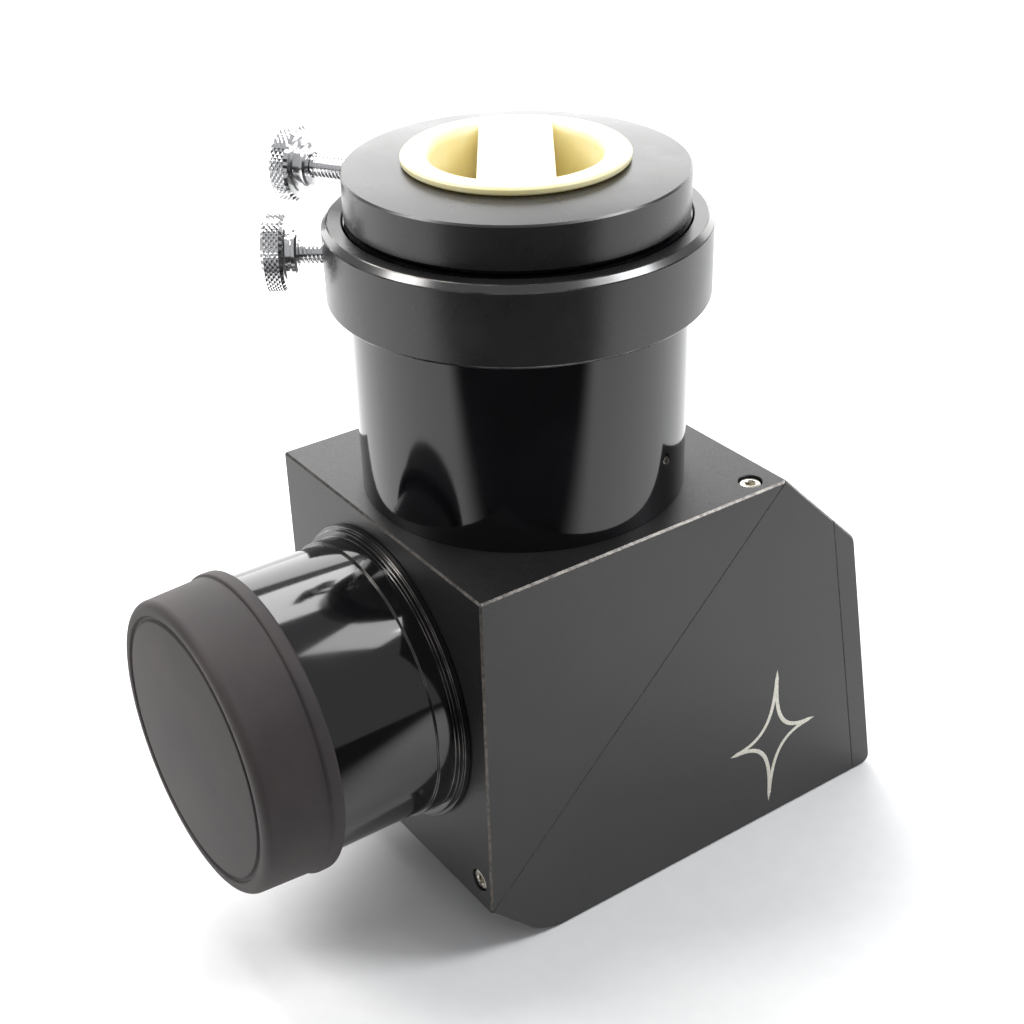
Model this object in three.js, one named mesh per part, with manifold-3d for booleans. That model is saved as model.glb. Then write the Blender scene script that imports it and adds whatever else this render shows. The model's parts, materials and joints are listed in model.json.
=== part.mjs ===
// Two-inch mirror star diagonal for a telescope, with a 1.25-inch eyepiece adapter and both dust covers.
// Millimetres, +Z up. The origin is on the rest face, straight under the eyepiece axis.
// Light comes in along +Y through the nosepiece and leaves along +Z through the eyepiece tube.
import * as THREE from "three";
import { mergeVertices } from "three/addons/utils/BufferGeometryUtils.js";
import Module from "manifold-3d";

const wasm = await Module();
wasm.setup();

// ---- Driving dimensions ----
const roundSteps = 48; // facets round a large turned piece
const smallSteps = 24; // facets round a screw, a stud or a knob
const seatGap = 0.1; // between faces that touch
const threadGap = 0.2; // radial, where a male thread sits in its hole
const clear = 1; // how far a cutter runs past the face it opens

const barrelRadius = 25.4; // the two-inch standard, for the nosepiece and for what goes in the receiver
const eyepieceRadius = 15.875; // the 1.25-inch standard

const axisHeight = 45.8; // optical axis above the rest face
const housingSideMargin = 3.3; // from the eyepiece tube to the housing's side
const housingTopMargin = 3.2; // from the nosepiece flange to the housing's top
const housingFrontMargin = 2.5; // from the eyepiece tube to the housing's front
const seamBehindMirror = 3.3; // along Y, mirror face to the seam of the two housings
const shoulderDrop = 18.7; // height, and run, of the 45 degree slope behind the seam's top
const backLean = 10.8; // how far the back face's foot stands behind its top
const backPlateThickness = 4.8;
const heelRadius = 2.4;
const toeRadius = 4.5;
const shoulderRadius = 1;
const housingWall = 5;
const threadDepth = 4; // nosepiece and tube into the front housing

const mirrorSideMargin = 2.8; // from the light path to the mirror's sides
const mirrorEndMargin = 2.7; // and to its ends, along the slope
const mirrorThickness = 9.5;
const mirrorCornerCut = 9;
const mirrorGap = 0.4; // round the mirror's edge in its cell
const cellWeb = 5; // wall behind the mirror
const padRadius = 5;
const padThickness = 1;
const padEdgeDistance = 13; // pad centre to the mirror's edge

const screwRadius = 1;
const screwLength = 8.5;
const screwHeadRadius = 1.95;
const screwHeadHeight = 2;
const screwSocketRadius = 0.95; // corner radius of the hexagonal socket
const screwSocketDepth = 1;
const headGap = 0.2; // radial, in the counterbore
const headSink = 0.35; // head below the surface
const seamScrewInset = 3.8; // from the housing's side
const seamScrewEdge = 5.2; // from the wedge's edge
const plateScrewInset = 2.7; // from the housing's side
const plateScrewEdge = 7; // from the plate's ends

const barrelLength = 36.4; // flange seat to the open end
const barrelWall = 2.4;
const barrelChamfer = 0.5;
const noseNeckRise = 0.5; // neck beyond the barrel
const noseNeckLength = 3.2;
const noseStepRise = 1.1; // step beyond the neck
const noseStepThickness = 0.8;
const noseFlangeRise = 0.6; // flange beyond the step
const noseFlangeThickness = 1.2;
const noseSpigotRise = 0.3; // threaded spigot beyond the neck
const filterThreadWall = 1.4;
const filterThreadDepth = 6;

const capLength = 14; // rubber dust cap over the barrel
const capWall = 1.48;
const capTaper = 0.6; // how much smaller its radius is at the closed end
const capBeadRise = 0.4;
const capBeadWidth = 2.6;
const capGrooveDepth = 0.35;
const capFaceThickness = 1.5;
const capEdgeRadius = 1.6;
const capRingInset = 0.9; // from the rounded edge to the ring groove in the face
const capRingWidth = 0.9;
const capGap = 0.12; // radial, cap to barrel
const capEndGap = 0.3; // barrel's end to the cap's floor

const tubeHeight = 48.4; // housing top to the tube's rim
const tubeWall = 3.25;
const tubeSpigotInset = 2.1; // threaded spigot inside the tube's radius
const receiverGap = 0.05; // radial, round a two-inch barrel
const receiverLedge = 2.25; // step that stops the barrel at the receiver's floor
const receiverRise = 7.4; // receiver's floor above the housing's top
const collarWall = 3.45;
const collarHeight = 13.6;
const collarChamfer = 1;
const collarBottomChamfer = 0.5;
const collarGap = 0.25; // radial, collar to tube
const ringThickness = 1.2;
const ringHeight = 3.8;
const ringSetback = 0.25; // ring's inner face behind the bore's wall
const ringGap = 0.25; // above, below and round a compression ring
const ringSlit = 4;

const adapterGap = 0.2; // radial, adapter barrel to receiver
const adapterBarrelLength = 29;
const adapterUndercutDepth = 0.6;
const adapterUndercutHeight = 10;
const adapterUndercutDrop = 2; // from the flange to the undercut
const adapterFlangeRise = 3.35; // flange beyond the adapter's barrel
const adapterFlangeHeight = 8.1;
const adapterFlangeChamfer = 1;
const adapterCrown = 0.9; // rise of the shallow conical top
const adapterLandWidth = 2.45; // flat land between the cone and the bore
const adapterRimChamfer = 0.3;
const eyepieceGap = 0.075; // radial, round a 1.25-inch barrel
const adapterFilterWall = 2.75;
const adapterFilterDepth = 11;

const plugGap = 0.25; // radial, plug to bore
const plugLength = 18.5;
const plugFlangeRise = 2.85; // flange beyond the bore
const plugFlangeThickness = 1.3;
const plugWall = 1.6;
const plugFloor = 1.8;
const plugMouthWall = 0.3; // what the flared mouth leaves of the plug's radius
const plugMouthDepth = 1.6;
const plugBarHalfWidth = 6.1;
const plugBarDraft = 1.2; // extra half width at the pocket's floor
const plugBarAngle = -35; // degrees from +X
const plugBarWall = 1.8;

const studRadius = 1.95;
const knobRadius = 6.5;
const knobThickness = 3.6;
const knobChamfer = 0.6;
const hubRadius = 3.8;
const hubLength = 2;
const knobBoreDepth = 3.6;
const studTipGap = 0.9; // stud's tip to its compression ring
const collarScrewAngle = 234; // degrees from +X, round the eyepiece axis
const collarScrewRise = 7; // above the collar's lower edge
const collarScrewReach = 4.2; // collar to the knob's hub
const adapterScrewAngle = 212;
const adapterScrewRise = 3.6; // above the flange's seat
const adapterScrewReach = 9; // flange to the knob's hub

// ---- Radii worked out from them ----
const noseNeckRadius = barrelRadius + noseNeckRise;
const noseStepRadius = noseNeckRadius + noseStepRise;
const noseFlangeRadius = noseStepRadius + noseFlangeRise;
const noseSpigotRadius = noseNeckRadius + noseSpigotRise;
const noseBoreRadius = barrelRadius - barrelWall;
const filterThreadRadius = barrelRadius - filterThreadWall;
const capInside = barrelRadius + capGap;
const capRearRadius = capInside + capWall;
const capFrontRadius = capRearRadius - capTaper;
const capBeadRadius = capRearRadius + capBeadRise;
const receiverRadius = barrelRadius + receiverGap;
const tubeRadius = receiverRadius + tubeWall;
const tubeSpigotRadius = tubeRadius - tubeSpigotInset;
const apertureRadius = receiverRadius - receiverLedge; // clear light path
const collarInside = tubeRadius + collarGap;
const collarRadius = collarInside + collarWall;
const ringGrooveDepth = ringSetback + ringThickness + ringGap;
const adapterRadius = receiverRadius - adapterGap;
const adapterFlangeRadius = adapterRadius + adapterFlangeRise;
const eyepieceBoreRadius = eyepieceRadius + eyepieceGap;

// ---- Places worked out from them ----
const halfWidth = tubeRadius + housingSideMargin;
const topAboveAxis = noseFlangeRadius + housingTopMargin;
const topZ = axisHeight + topAboveAxis;
const frontFromAxis = tubeRadius + housingFrontMargin; // eyepiece axis to the nosepiece face
const frontY = -frontFromAxis;
const tubeTopZ = topZ + tubeHeight;
const collarTopZ = tubeTopZ;
const collarBottomZ = collarTopZ - collarHeight;
const collarScrewZ = collarBottomZ + collarScrewRise;
const adapterSeatZ = collarTopZ + seatGap;
const adapterScrewZ = adapterSeatZ + adapterScrewRise;
const adapterRimZ = adapterSeatZ + adapterFlangeHeight;
const adapterTopZ = adapterRimZ + adapterCrown;
const capStart = barrelLength + capFaceThickness + capEndGap - capLength; // ahead of the housing's front

const X = new THREE.Vector3(1, 0, 0);
const Y = new THREE.Vector3(0, 1, 0);
const Z = new THREE.Vector3(0, 0, 1);
const opticalCentre = new THREE.Vector3(0, 0, axisHeight);

// ---- Finishes ----
const finish = (color, roughness, metalness) =>
  new THREE.MeshStandardMaterial({ color, roughness, metalness });
const satinBlack = () => finish(0x2c2c2f, 0.5, 0.6);
const glossBlack = () => finish(0x101013, 0.12, 0.7);
const rubber = () => finish(0x3a3739, 0.85, 0);
const ivory = () => finish(0xfff6d8, 0.45, 0);
const chrome = () => finish(0xd8d8dc, 0.15, 1);
const steel = () => finish(0xb8b8bc, 0.3, 1);
const brass = () => finish(0xc8a050, 0.35, 1);
const silicone = () => finish(0xd8d4cc, 0.7, 0);
const mirrorCoat = () => finish(0xe8eef4, 0.03, 1);

// ---- Shapes ----
// A closed mesh with its shared corners merged, before a turn or a move can part them.
function welded(geometry) {
  geometry.deleteAttribute("normal");
  geometry.deleteAttribute("uv");
  return mergeVertices(geometry, 1e-4);
}

// A ring or a solid of revolution about +Z from [radius, height] points, anticlockwise, radius to the right.
function turned(profile, steps = roundSteps) {
  const points = profile.map(([radius, height]) => new THREE.Vector2(radius, height));
  points.push(points[0].clone());
  return welded(new THREE.LatheGeometry(points, steps)).rotateX(Math.PI / 2);
}

// A prism along +Z on an outline in the XY plane.
function prism(outline, low, high) {
  const options = { depth: high - low, bevelEnabled: false, curveSegments: 5 };
  return welded(new THREE.ExtrudeGeometry(outline, options)).translate(0, 0, low);
}

// A prism along +X on an outline in the YZ plane.
function alongX(outline, lowX, highX) {
  return prism(outline, lowX, highX).applyMatrix4(new THREE.Matrix4().makeBasis(Y, Z, X));
}

// An outline through corners given as [y, z, radius], each rounded by its radius.
function roundedOutline(corners) {
  const outline = new THREE.Shape();
  corners.forEach(([y, z, radius = 0], i) => {
    const here = new THREE.Vector2(y, z);
    const [before, after] = [-1, 1].map((step) => {
      const [u, v] = corners[(i + step + corners.length) % corners.length];
      return new THREE.Vector2(u, v).sub(here).normalize().multiplyScalar(radius).add(here);
    });
    if (i === 0) outline.moveTo(before.x, before.y);
    else outline.lineTo(before.x, before.y);
    if (radius > 0) outline.quadraticCurveTo(y, z, after.x, after.y);
  });
  outline.closePath();
  return outline;
}

// A frame at a place, with its +Z along a direction.
function frameAlong(place, direction) {
  const turn = new THREE.Quaternion().setFromUnitVectors(Z, direction);
  return new THREE.Matrix4().compose(place, turn, new THREE.Vector3(1, 1, 1));
}

// The nosepiece's frame: local +Z runs from the housing's front face to the open end.
const noseFrame = frameAlong(new THREE.Vector3(0, frontY, axisHeight), Y.clone().negate());

// A rod along +Z from low to high.
const rod = (radius, low, high, steps = smallSteps) =>
  turned([[0, low], [radius, low], [radius, high], [0, high]], steps);

const block = (sizeX, sizeY, sizeZ) => welded(new THREE.BoxGeometry(sizeX, sizeY, sizeZ));

// ---- Joining and cutting ----
function toSolid(geometry) {
  return new wasm.Manifold(
    new wasm.Mesh({
      numProp: 3,
      vertProperties: geometry.attributes.position.array,
      triVerts: new Uint32Array(geometry.index.array),
    }),
  );
}

function toGeometry(solid) {
  const mesh = solid.getMesh();
  const geometry = new THREE.BufferGeometry();
  geometry.setAttribute("position", new THREE.BufferAttribute(mesh.vertProperties, 3));
  return geometry.setIndex(new THREE.BufferAttribute(mesh.triVerts, 1));
}

function cut(geometry, cutters) {
  return toGeometry(cutters.reduce((left, cutter) => left.subtract(toSolid(cutter)), toSolid(geometry)));
}

function piece(name, geometry, material, frame) {
  geometry.computeVertexNormals();
  const mesh = new THREE.Mesh(geometry, material);
  mesh.name = name;
  if (frame) mesh.applyMatrix4(frame);
  return mesh;
}

const model = new THREE.Group();

// ---- Socket-head screws: the head's top is at the frame's origin and +Z points out of the surface ----
const headTop = -headSink;
const headBottom = headTop - screwHeadHeight;
const hexSteps = 6;

function socketScrew() {
  const body = turned([
    [0, headBottom - screwLength],
    [screwRadius, headBottom - screwLength],
    [screwRadius, headBottom],
    [screwHeadRadius, headBottom],
    [screwHeadRadius, headTop],
    [0, headTop],
  ], smallSteps);
  return cut(body, [rod(screwSocketRadius, headTop - screwSocketDepth, clear, hexSteps)]);
}

// The counterbored hole for one screw, in the same frame.
function screwHole(frame) {
  const holeRadius = screwRadius + threadGap;
  const boreRadius = screwHeadRadius + headGap;
  const depth = headBottom - screwLength - threadGap;
  const seat = headBottom - seatGap;
  return turned([
    [0, depth],
    [holeRadius, depth],
    [holeRadius, seat],
    [boreRadius, seat],
    [boreRadius, clear],
    [0, clear],
  ], smallSteps).applyMatrix4(frame);
}

// ---- Housing outlines, in Y and Z ----
const seamTopY = topAboveAxis + seamBehindMirror;
const seamBottomZ = axisHeight - frontFromAxis - seamBehindMirror;
const seamTop = new THREE.Vector2(seamTopY, topZ);
const seamBottom = new THREE.Vector2(frontY, seamBottomZ);
const shoulder = new THREE.Vector2(seamTopY + shoulderDrop, topZ - shoulderDrop);
const heel = new THREE.Vector2(shoulder.x + backLean, 0);
const toe = new THREE.Vector2(frontY + seamBottomZ, 0);
const plateLean = heel.clone().sub(shoulder).normalize(); // down the back face
const plateNormal = new THREE.Vector2(-plateLean.y, plateLean.x); // out of the back face

// Where the line through point a along u meets the line through point b along v.
function meet(a, u, b, v) {
  const reach = b.clone().sub(a).cross(v) / u.cross(v);
  return a.clone().addScaledVector(u, reach);
}

const along = (point, direction, distance) => point.clone().addScaledVector(direction, distance);
const up45 = new THREE.Vector2(Math.SQRT1_2, Math.SQRT1_2); // along the seam
const down45 = new THREE.Vector2(Math.SQRT1_2, -Math.SQRT1_2); // square to it, towards the rear housing
const level = new THREE.Vector2(1, 0);
const corner = (point, radius) => [point.x, point.y, radius];

// A line parallel to the back face, a depth in from it, cut by the shoulder slope and by the rest face.
function backLine(depth) {
  const start = along(shoulder, plateNormal, -depth);
  return [meet(start, plateLean, seamTop, down45), meet(start, plateLean, heel, level)];
}

// Screws: two down through the top, two back through the front, four through the back plate.
const screwFrames = {};
for (const [side, sign] of [["left", -1], ["right", 1]]) {
  const seamX = sign * (halfWidth - seamScrewInset);
  const plateX = sign * (halfWidth - plateScrewInset);
  const high = along(shoulder, plateLean, plateScrewEdge);
  const low = along(heel, plateLean, -plateScrewEdge);
  const outward = new THREE.Vector3(0, plateNormal.x, plateNormal.y);
  screwFrames["housing_screw_top_" + side] = frameAlong(
    new THREE.Vector3(seamX, seamTopY - seamScrewEdge, topZ), Z);
  screwFrames["housing_screw_front_" + side] = frameAlong(
    new THREE.Vector3(seamX, frontY, seamBottomZ + seamScrewEdge), Y.clone().negate());
  screwFrames["back_plate_screw_high_" + side] = frameAlong(
    new THREE.Vector3(plateX, high.x, high.y), outward);
  screwFrames["back_plate_screw_low_" + side] = frameAlong(
    new THREE.Vector3(plateX, low.x, low.y), outward);
}
function holesFor(start) {
  const names = Object.keys(screwFrames).filter((name) => name.startsWith(start));
  return names.map((name) => screwHole(screwFrames[name]));
}

// The mirror's frame: +Z out of its reflecting face, +Y up along the seam.
const mirrorFrame = new THREE.Matrix4().makeRotationX(Math.PI / 4).setPosition(opticalCentre);
const mirrorWidth = 2 * (apertureRadius + mirrorSideMargin);
const mirrorLength = 2 * (apertureRadius * Math.SQRT2 + mirrorEndMargin);
const seamDepth = seamBehindMirror * Math.SQRT1_2; // mirror face to the seam, square to both
const cellDepth = mirrorThickness + padThickness + 2 * seatGap; // mirror face to the cell's floor

function mirrorOutline(extra) {
  const [u, v] = [mirrorWidth / 2 + extra, mirrorLength / 2 + extra];
  const outline = new THREE.Shape();
  outline.moveTo(u, v - mirrorCornerCut);
  outline.lineTo(u - mirrorCornerCut, v);
  outline.lineTo(mirrorCornerCut - u, v);
  outline.lineTo(-u, v - mirrorCornerCut);
  outline.lineTo(-u, mirrorCornerCut - v);
  outline.lineTo(mirrorCornerCut - u, -v);
  outline.lineTo(u - mirrorCornerCut, -v);
  outline.lineTo(u, mirrorCornerCut - v);
  outline.closePath();
  return outline;
}

const mirrorPrism = (extra, low, high) => prism(mirrorOutline(extra), low, high);

// ---- Front housing: a 45 degree wedge with the light path's elbow, two sockets and the mirror's seat ----
function frontHousing() {
  const half = seatGap * Math.SQRT1_2; // half the seam's gap, measured along Y or Z
  const wedge = roundedOutline([[seamTopY - half, topZ], [frontY, topZ], [frontY, seamBottomZ + half]]);
  const socketDepth = threadDepth + threadGap;
  const elbowEnd = apertureRadius; // each bore runs past the axis crossing; the mirror's seat closes it
  return cut(alongX(wedge, -halfWidth, halfWidth), [
    rod(noseSpigotRadius + threadGap, -socketDepth, clear, roundSteps).applyMatrix4(noseFrame),
    rod(apertureRadius, -frontFromAxis - elbowEnd, clear, roundSteps).applyMatrix4(noseFrame),
    rod(tubeSpigotRadius + threadGap, topZ - socketDepth, topZ + clear, roundSteps),
    rod(apertureRadius, axisHeight - elbowEnd, topZ + clear, roundSteps),
    mirrorPrism(mirrorGap, -cellDepth, seatGap).applyMatrix4(mirrorFrame),
    ...holesFor("housing_screw"),
  ]);
}

// ---- Rear housing: the mirror's cell in front, an open chamber behind ----
function rearHousing() {
  const [high, low] = backLine(backPlateThickness + seatGap);
  const gap = seatGap / 2;
  const block = roundedOutline([
    corner(along(seamTop, down45, gap)),
    corner(along(seamBottom, down45, gap)),
    corner(toe, toeRadius),
    corner(low),
    corner(high),
  ]);
  const webPoint = along(seamTop, down45, cellDepth - seamDepth + cellWeb);
  const slopeInside = along(seamTop, up45, -housingWall);
  const floorInside = new THREE.Vector2(0, housingWall);
  const behind = along(heel, plateNormal, clear);
  const chamber = roundedOutline([
    corner(meet(webPoint, up45, slopeInside, down45)),
    corner(meet(webPoint, up45, floorInside, level)),
    corner(meet(behind, plateLean, floorInside, level)),
    corner(meet(behind, plateLean, slopeInside, down45)),
  ]);
  // The toe's slope keeps a full wall where the chamber's front corner comes near it.
  const toeInside = along(toe, up45, housingWall);
  const toeWall = roundedOutline([
    corner(along(toeInside, down45, heel.x)),
    corner(along(toeInside, down45, -heel.x)),
    corner(along(toeInside, up45, -heel.x)),
  ]);
  const hollow = toSolid(alongX(chamber, housingWall - halfWidth, halfWidth - housingWall));
  return cut(alongX(block, -halfWidth, halfWidth), [
    mirrorPrism(mirrorGap, -cellDepth, 0).applyMatrix4(mirrorFrame),
    toGeometry(hollow.subtract(toSolid(alongX(toeWall, -halfWidth, halfWidth)))),
    ...holesFor("housing_screw"),
    ...holesFor("back_plate_screw"),
  ]);
}

// ---- Back plate: closes the chamber ----
function backPlate() {
  const [high, low] = backLine(backPlateThickness);
  const outline = roundedOutline([
    corner(high),
    corner(low),
    corner(heel, heelRadius),
    corner(shoulder, shoulderRadius),
  ]);
  return cut(alongX(outline, -halfWidth, halfWidth), holesFor("back_plate_screw"));
}

const body = new THREE.Group();
body.add(piece("front_housing", frontHousing(), satinBlack()));
body.add(piece("rear_housing", rearHousing(), satinBlack()));
body.add(piece("back_plate", backPlate(), satinBlack()));
for (const [name, frame] of Object.entries(screwFrames)) body.add(piece(name, socketScrew(), steel(), frame));

// ---- Mirror and its three silicone pads ----
body.add(piece("mirror", mirrorPrism(0, -mirrorThickness, 0), mirrorCoat(), mirrorFrame));
const padFloor = -mirrorThickness - seatGap - padThickness;
const padReach = mirrorLength / 2 - padEdgeDistance;
const padPlaces = [
  [0, padReach],
  [padEdgeDistance - mirrorWidth / 2, -padReach],
  [mirrorWidth / 2 - padEdgeDistance, -padReach],
];
padPlaces.forEach(([u, v], i) => {
  const frame = mirrorFrame.clone().multiply(new THREE.Matrix4().makeTranslation(u, v, padFloor));
  body.add(piece("mirror_pad_" + (i + 1), rod(padRadius, 0, padThickness), silicone(), frame));
});

// ---- Nosepiece ----
const noseStepEnd = noseFlangeThickness + noseStepThickness;
const noseNeckEnd = noseStepEnd + noseNeckLength;
const filterStart = barrelLength - filterThreadDepth;
body.add(piece("nosepiece_barrel", turned([
  [noseBoreRadius, -threadDepth],
  [noseSpigotRadius, -threadDepth],
  [noseSpigotRadius, seatGap],
  [noseFlangeRadius, seatGap],
  [noseFlangeRadius, noseFlangeThickness],
  [noseStepRadius, noseFlangeThickness],
  [noseStepRadius, noseStepEnd],
  [noseNeckRadius, noseStepEnd],
  [noseNeckRadius, noseNeckEnd],
  [barrelRadius, noseNeckEnd],
  [barrelRadius, barrelLength - barrelChamfer],
  [barrelRadius - barrelChamfer, barrelLength],
  [filterThreadRadius, barrelLength],
  [filterThreadRadius, filterStart],
  [noseBoreRadius, filterStart],
]), glossBlack(), noseFrame));

// ---- Eyepiece tube ----
const grooveLow = collarScrewZ - ringHeight / 2 - ringGap;
const grooveHigh = collarScrewZ + ringHeight / 2 + ringGap;
const grooveRadius = receiverRadius + ringGrooveDepth;
const receiverFloor = topZ + receiverRise;
const radial = (degrees) => X.clone().applyAxisAngle(Z, THREE.MathUtils.degToRad(degrees));
const collarStudFrame = frameAlong(new THREE.Vector3(0, 0, collarScrewZ), radial(collarScrewAngle));
const adapterStudFrame = frameAlong(new THREE.Vector3(0, 0, adapterScrewZ), radial(adapterScrewAngle));
const studHole = (frame, from, to) => rod(studRadius + threadGap, from, to).applyMatrix4(frame);

const tube = turned([
  [apertureRadius, topZ - threadDepth],
  [tubeSpigotRadius, topZ - threadDepth],
  [tubeSpigotRadius, topZ + seatGap],
  [tubeRadius, topZ + seatGap],
  [tubeRadius, tubeTopZ],
  [receiverRadius, tubeTopZ],
  [receiverRadius, grooveHigh],
  [grooveRadius, grooveHigh],
  [grooveRadius, grooveLow],
  [receiverRadius, grooveLow],
  [receiverRadius, receiverFloor],
  [apertureRadius, receiverFloor],
]);
const tubeHole = studHole(collarStudFrame, receiverRadius, collarRadius);
body.add(piece("eyepiece_tube", cut(tube, [tubeHole]), glossBlack()));

// ---- Clamp collar round the tube's top ----
const collar = turned([
  [collarInside, collarBottomZ],
  [collarRadius - collarBottomChamfer, collarBottomZ],
  [collarRadius, collarBottomZ + collarBottomChamfer],
  [collarRadius, collarTopZ - collarChamfer],
  [collarRadius - collarChamfer, collarTopZ],
  [collarInside, collarTopZ],
]);
const collarHole = studHole(collarStudFrame, receiverRadius, collarRadius + clear);
body.add(piece("clamp_collar", cut(collar, [collarHole]), satinBlack()));

// ---- Split brass compression rings: the slit faces away from the screw that presses the ring ----
function compressionRing(outer, middleZ, screwAngle) {
  const inner = outer - ringThickness;
  const half = ringHeight / 2;
  const ring = turned([
    [inner, middleZ - half],
    [outer, middleZ - half],
    [outer, middleZ + half],
    [inner, middleZ + half],
  ]);
  const slit = block(2 * outer, ringSlit, 2 * ringHeight).translate(-outer, 0, 0);
  const frame = new THREE.Matrix4().makeRotationZ(THREE.MathUtils.degToRad(screwAngle));
  return cut(ring, [slit.applyMatrix4(frame.setPosition(0, 0, middleZ))]);
}

const receiverRingOuter = grooveRadius - ringGap;
const receiverRing = compressionRing(receiverRingOuter, collarScrewZ, collarScrewAngle);
body.add(piece("compression_ring_2in", receiverRing, brass()));

// ---- Adapter: lifts out of the receiver with its own ring, screw and dust plug ----
const adapterBottomZ = adapterSeatZ - adapterBarrelLength;
const undercutHigh = adapterSeatZ - adapterUndercutDrop;
const undercutLow = undercutHigh - adapterUndercutHeight;
const undercutRadius = adapterRadius - adapterUndercutDepth;
const adapterFilterRadius = adapterRadius - adapterFilterWall;
const adapterFilterTop = adapterBottomZ + adapterFilterDepth;
const adapterLandRadius = eyepieceBoreRadius + adapterLandWidth;
const smallGrooveRadius = eyepieceBoreRadius + ringGrooveDepth;
const smallGrooveLow = adapterScrewZ - ringHeight / 2 - ringGap;
const smallGrooveHigh = adapterScrewZ + ringHeight / 2 + ringGap;
const adapterBody = turned([
  [adapterFilterRadius, adapterBottomZ],
  [adapterRadius, adapterBottomZ],
  [adapterRadius, undercutLow],
  [undercutRadius, undercutLow],
  [undercutRadius, undercutHigh],
  [adapterRadius, undercutHigh],
  [adapterRadius, adapterSeatZ],
  [adapterFlangeRadius - adapterFlangeChamfer, adapterSeatZ],
  [adapterFlangeRadius, adapterSeatZ + adapterFlangeChamfer],
  [adapterFlangeRadius, adapterRimZ - adapterRimChamfer],
  [adapterFlangeRadius - adapterRimChamfer, adapterRimZ],
  [adapterLandRadius, adapterTopZ],
  [eyepieceBoreRadius, adapterTopZ],
  [eyepieceBoreRadius, smallGrooveHigh],
  [smallGrooveRadius, smallGrooveHigh],
  [smallGrooveRadius, smallGrooveLow],
  [eyepieceBoreRadius, smallGrooveLow],
  [eyepieceBoreRadius, adapterFilterTop],
  [adapterFilterRadius, adapterFilterTop],
]);
const adapterHole = studHole(adapterStudFrame, eyepieceBoreRadius, adapterFlangeRadius + clear);
const smallRingOuter = smallGrooveRadius - ringGap;
const adapter = new THREE.Group();
adapter.add(piece("adapter", cut(adapterBody, [adapterHole]), satinBlack()));
const smallRing = compressionRing(smallRingOuter, adapterScrewZ, adapterScrewAngle);
adapter.add(piece("compression_ring_125", smallRing, brass()));

// ---- Dust plug: two finger pockets either side of a grip bar that is hollow from below ----
function dustPlug() {
  const seat = adapterTopZ + seatGap;
  const top = seat + plugFlangeThickness;
  const bottom = seat - plugLength;
  const outer = eyepieceBoreRadius - plugGap;
  const floor = bottom + plugFloor;
  const flange = eyepieceBoreRadius + plugFlangeRise;
  const shell = turned([
    [0, bottom],
    [outer, bottom],
    [outer, seat],
    [flange, seat],
    [flange, top],
    [0, top],
  ]);
  const pocketRound = toSolid(turned([
    [0, floor],
    [outer - plugWall, floor],
    [outer - plugWall, top - plugMouthDepth],
    [outer - plugMouthWall, top + seatGap],
    [0, top + seatGap],
  ]));
  const barOutline = new THREE.Shape();
  barOutline.moveTo(-plugBarHalfWidth - plugBarDraft, floor);
  barOutline.lineTo(plugBarHalfWidth + plugBarDraft, floor);
  barOutline.lineTo(plugBarHalfWidth, top + clear);
  barOutline.lineTo(-plugBarHalfWidth, top + clear);
  barOutline.closePath();
  const barTurn = new THREE.Matrix4().makeRotationZ(THREE.MathUtils.degToRad(plugBarAngle));
  const bar = alongX(barOutline, -flange, flange).applyMatrix4(barTurn);
  const hollowWidth = 2 * (plugBarHalfWidth - plugBarWall);
  const hollowLength = 2 * (outer - 2 * plugWall);
  const hollowHeight = top - plugBarWall - bottom;
  const hollow = block(hollowLength, hollowWidth, 2 * hollowHeight).applyMatrix4(barTurn);
  hollow.translate(0, 0, bottom);
  const pockets = pocketRound.subtract(toSolid(bar));
  return toGeometry(toSolid(shell).subtract(pockets).subtract(toSolid(hollow)));
}
const plug = new THREE.Group();
plug.add(piece("dust_plug", dustPlug(), ivory()));
adapter.add(plug);

// ---- Thumbscrews: a threaded stud and a knurled knob on its end, local +Z out from the eyepiece axis ----
function thumbscrew(name, frame, ringOuter, reach) {
  const tip = ringOuter + studTipGap;
  const rimStart = reach + hubLength;
  const rimEnd = rimStart + knobThickness;
  const boreEnd = reach + knobBoreDepth;
  const stud = rod(studRadius, tip, boreEnd - seatGap);
  const knob = turned([
    [studRadius + threadGap, reach],
    [hubRadius, reach],
    [hubRadius, rimStart],
    [knobRadius - knobChamfer, rimStart],
    [knobRadius, rimStart + knobChamfer],
    [knobRadius, rimEnd - knobChamfer],
    [knobRadius - knobChamfer, rimEnd],
    [0, rimEnd],
    [0, boreEnd],
    [studRadius + threadGap, boreEnd],
  ], smallSteps);
  const screw = new THREE.Group();
  screw.add(piece(name + "_stud", stud, chrome(), frame));
  screw.add(piece(name + "_knob", knob, chrome(), frame));
  return screw;
}
const collarKnobStart = collarRadius + collarScrewReach;
const adapterKnobStart = adapterFlangeRadius + adapterScrewReach;
body.add(thumbscrew("collar_screw", collarStudFrame, receiverRingOuter, collarKnobStart));
adapter.add(thumbscrew("adapter_screw", adapterStudFrame, smallRingOuter, adapterKnobStart));

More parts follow.
